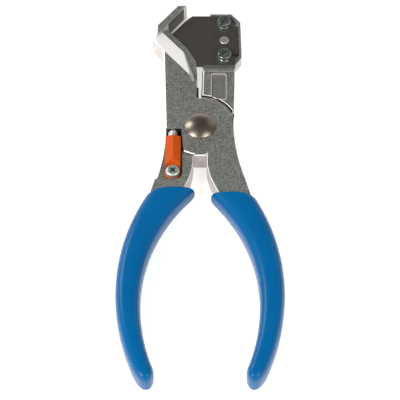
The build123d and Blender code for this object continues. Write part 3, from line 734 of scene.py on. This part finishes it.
class PLIERS_OT_pivot(bpy.types.Operator):
    """Finish the domed pivot rivet"""

    bl_idname = "pliers.pivot"
    bl_label = "Pivot rivet"

    def execute(self, context):
        rivet = rivet_finish("rivet_steel", context.scene.pliers_colors.rivet)
        dress("pivot_rivet", rivet)
        return {"FINISHED"}


class PLIERS_OT_sleeve(bpy.types.Operator):
    """Finish the moulded spring cover and the stop pad"""

    bl_idname = "pliers.sleeve"
    bl_label = "Spring cover and pad"

    def execute(self, context):
        colors = context.scene.pliers_colors
        cover = moulded_finish("cover_plastic", colors.sleeve, 0.42, 0.06, 0.16)
        dress("spring_sleeve", cover)
        dress("stop_pad", rubber_finish("pad_rubber", colors.pad))
        return {"FINISHED"}


class PLIERS_OT_spring(bpy.types.Operator):
    """Wind the return spring with its leg and the ring round the cover's screw"""

    bl_idname = "pliers.spring"
    bl_label = "Return spring"

    def execute(self, context):
        sizes = context.scene.pliers_sizes
        low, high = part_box("return_spring")
        middle_x = (low.x + high.x) / 2
        screw_low, screw_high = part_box("sleeve_screw")
        screw_y = (screw_low.y + screw_high.y) / 2
        start = high.y - sizes.wire
        end = screw_y + LEG_END
        path = []
        total = sizes.turns * STEPS_PER_TURN
        for i in range(total + 1):
            turn = 2 * math.pi * i / STEPS_PER_TURN - math.pi / 2
            y = start + (end - start) * i / total
            x = middle_x + sizes.coil * math.cos(turn)
            path.append(Vector((x, y, COIL_LEVEL + sizes.coil * math.sin(turn))))
        # the leg runs down to the ring round the cover's screw
        ring_level = low.z + sizes.wire + RING_LIFT
        leg_run = screw_y + RING_RADIUS - end
        for i in range(1, LEG_STEPS):
            z = path[-1].z + (ring_level - path[-1].z) * 0.5
            path.append(Vector((middle_x, end + leg_run * i / LEG_STEPS, z)))
        for i in range(RING_STEPS):
            turn = math.pi / 2 + 2 * math.pi * i / RING_STEPS
            x = middle_x + RING_RADIUS * math.cos(turn)
            path.append(Vector((x, screw_y + RING_RADIUS * math.sin(turn), ring_level)))
        shape = bmesh.new()
        skin(shape, tube_loops(path, sizes.wire))
        material = plated_finish("spring_wire", context.scene.pliers_colors.pin, 1.0, 0.24)
        spring = new_piece("return_spring_coil", shape, material)
        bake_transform(spring)
        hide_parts("return_spring")
        return {"FINISHED"}


class PLIERS_OT_grips(bpy.types.Operator):
    """Loft the two dipped grips over their tangs"""

    bl_idname = "pliers.grips"
    bl_label = "Grips"

    def execute(self, context):
        sizes = context.scene.pliers_sizes
        vinyl = context.scene.pliers_colors.grip
        material = moulded_finish("dipped_vinyl", vinyl, 0.24, 0.05, 0.22)
        for node, body, side in (("left_grip", BLADE_SIDE, -1), ("right_grip", ANVIL_SIDE, 1)):
            shape = bmesh.new()
            skin(shape, grip_loops(GRIP_TOPS[node], sizes))
            bmesh.ops.scale(shape, vec=(side, 1, 1), verts=shape.verts)
            bmesh.ops.recalc_face_normals(shape, faces=shape.faces)
            grip = new_piece(node + "_skin", shape, material, body)
            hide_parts(node)
        return {"FINISHED"}


class PLIERS_OT_stage(bpy.types.Operator):
    """Set up the floor, the studio light and the camera"""

    bl_idname = "pliers.stage"
    bl_label = "Stage"

    def execute(self, context):
        studio = context.scene.pliers_studio
        scene = context.scene
        self.camera(scene, studio)
        self.floor(studio)
        self.world(scene)
        powers = (studio.key, studio.fill, studio.back, studio.back * BACK_RIGHT_SHARE)
        for (name, place, width), power in zip(LAMPS, powers):
            self.lamp(scene, name, place, width, power)
        scene.view_settings.view_transform = "Standard"
        return {"FINISHED"}

    def camera(self, scene, studio):
        data = bpy.data.cameras.new("camera")
        data.lens = studio.lens
        data.clip_start = 0.01
        data.clip_end = 100.0
        camera = bpy.data.objects.new("camera", data)
        scene.collection.objects.link(camera)
        target = Vector(CAMERA_TARGET)
        back = Vector((0.0, -math.sin(studio.tilt), math.cos(studio.tilt)))
        camera.location = target + back * studio.distance
        camera.rotation_euler = (-back).to_track_quat("-Z", "Y").to_euler()
        scene.camera = camera

    def floor(self, studio):
        shape = bmesh.new()
        bmesh.ops.create_grid(shape, x_segments=8, y_segments=8, size=studio.floor / 2)
        finish = Finish("studio_floor", (0.86, 0.86, 0.86), 0.0, 0.9)
        cloud = finish.ramp(finish.noise(3.0, 2.0), 0.3, 0.7)
        finish.color(finish.mix(cloud, (FLOOR_DARK,) * 3, (FLOOR_PALE,) * 3))
        floor = new_piece("floor", shape, finish.material)
        lift = finish.add("ShaderNodeEmission")
        lift.inputs["Strength"].default_value = FLOOR_LIFT
        rays = finish.add("ShaderNodeLightPath")
        seen = finish.maths("MAXIMUM", rays.outputs["Is Camera Ray"], rays.outputs["Is Glossy Ray"])
        seen = finish.maths("MAXIMUM", seen, rays.outputs["Is Transmission Ray"])
        lifted = finish.add("ShaderNodeMixShader")
        black = finish.add("ShaderNodeEmission")
        black.inputs["Strength"].default_value = 0.0
        finish.feed(lifted.inputs[0], seen)
        finish.feed(lifted.inputs[1], black.outputs[0])
        finish.feed(lifted.inputs[2], lift.outputs[0])
        both = finish.add("ShaderNodeAddShader")
        finish.feed(both.inputs[0], finish.shader.outputs[0])
        finish.feed(both.inputs[1], lifted.outputs[0])
        output = [n for n in finish.tree.nodes if n.type == "OUTPUT_MATERIAL"][0]
        finish.feed(output.inputs["Surface"], both.outputs[0])

    def world(self, scene):
        """Soft room: a white surround near the horizon under a dim ceiling."""
        world = bpy.data.worlds.new("studio_room")
        world.use_nodes = True
        tree = world.node_tree
        tree.nodes.clear()
        output = tree.nodes.new("ShaderNodeOutputWorld")
        background = tree.nodes.new("ShaderNodeBackground")
        place = tree.nodes.new("ShaderNodeTexCoord")
        split = tree.nodes.new("ShaderNodeSeparateXYZ")
        level = tree.nodes.new("ShaderNodeMapRange")
        level.interpolation_type = "SMOOTHSTEP"
        level.inputs["From Min"].default_value = HORIZON
        level.inputs["From Max"].default_value = CEILING
        level.inputs["To Min"].default_value = HORIZON_STRENGTH
        level.inputs["To Max"].default_value = CEILING_STRENGTH
        tree.links.new(place.outputs["Generated"], split.inputs[0])
        tree.links.new(split.outputs["Z"], level.inputs["Value"])
        tree.links.new(level.outputs["Result"], background.inputs["Strength"])
        tree.links.new(background.outputs[0], output.inputs["Surface"])
        scene.world = world

    def lamp(self, scene, name, place, width, power):
        data = bpy.data.lights.new(name, "AREA")
        data.shape = "DISK"
        data.size = width
        data.energy = power
        lamp = bpy.data.objects.new(name, data)
        scene.collection.objects.link(lamp)
        lamp.location = place
        aim = Vector(LAMP_TARGET) - Vector(place)
        lamp.rotation_euler = aim.to_track_quat("-Z", "Y").to_euler()


class PLIERS_PT_panel(bpy.types.Panel):
    """Builds the pliers piece by piece"""

    bl_idname = "PLIERS_PT_panel"
    bl_label = "Cutting pliers"
    bl_space_type = "VIEW_3D"
    bl_region_type = "UI"
    bl_category = "Pliers"

    def draw(self, context):
        for operator in OPERATORS:
            self.layout.operator(operator.bl_idname)
        for group in (context.scene.pliers_colors, context.scene.pliers_sizes, context.scene.pliers_studio):
            box = self.layout.box()
            for key in group.__annotations__:
                box.prop(group, key)


OPERATORS = (
    PLIERS_OT_stage,
    PLIERS_OT_castings,
    PLIERS_OT_cutting_steel,
    PLIERS_OT_fasteners,
    PLIERS_OT_pivot,
    PLIERS_OT_sleeve,
    PLIERS_OT_spring,
    PLIERS_OT_grips,
)
GROUPS = {"pliers_colors": PliersColors, "pliers_sizes": PliersSizes, "pliers_studio": PliersStudio}
CLASSES = (*GROUPS.values(), *OPERATORS, PLIERS_PT_panel)


def register():
    for cls in CLASSES:
        bpy.utils.register_class(cls)
    for key, group in GROUPS.items():
        setattr(bpy.types.Scene, key, PointerProperty(type=group))


def unregister():
    for key in GROUPS:
        delattr(bpy.types.Scene, key)
    for cls in reversed(CLASSES):
        bpy.utils.unregister_class(cls)


def main():
    """Builds every piece in order."""
    register()
    for operator in OPERATORS:
        group, name = operator.bl_idname.split(".")
        getattr(getattr(bpy.ops, group), name)()


if __name__ == "__main__":
    main()
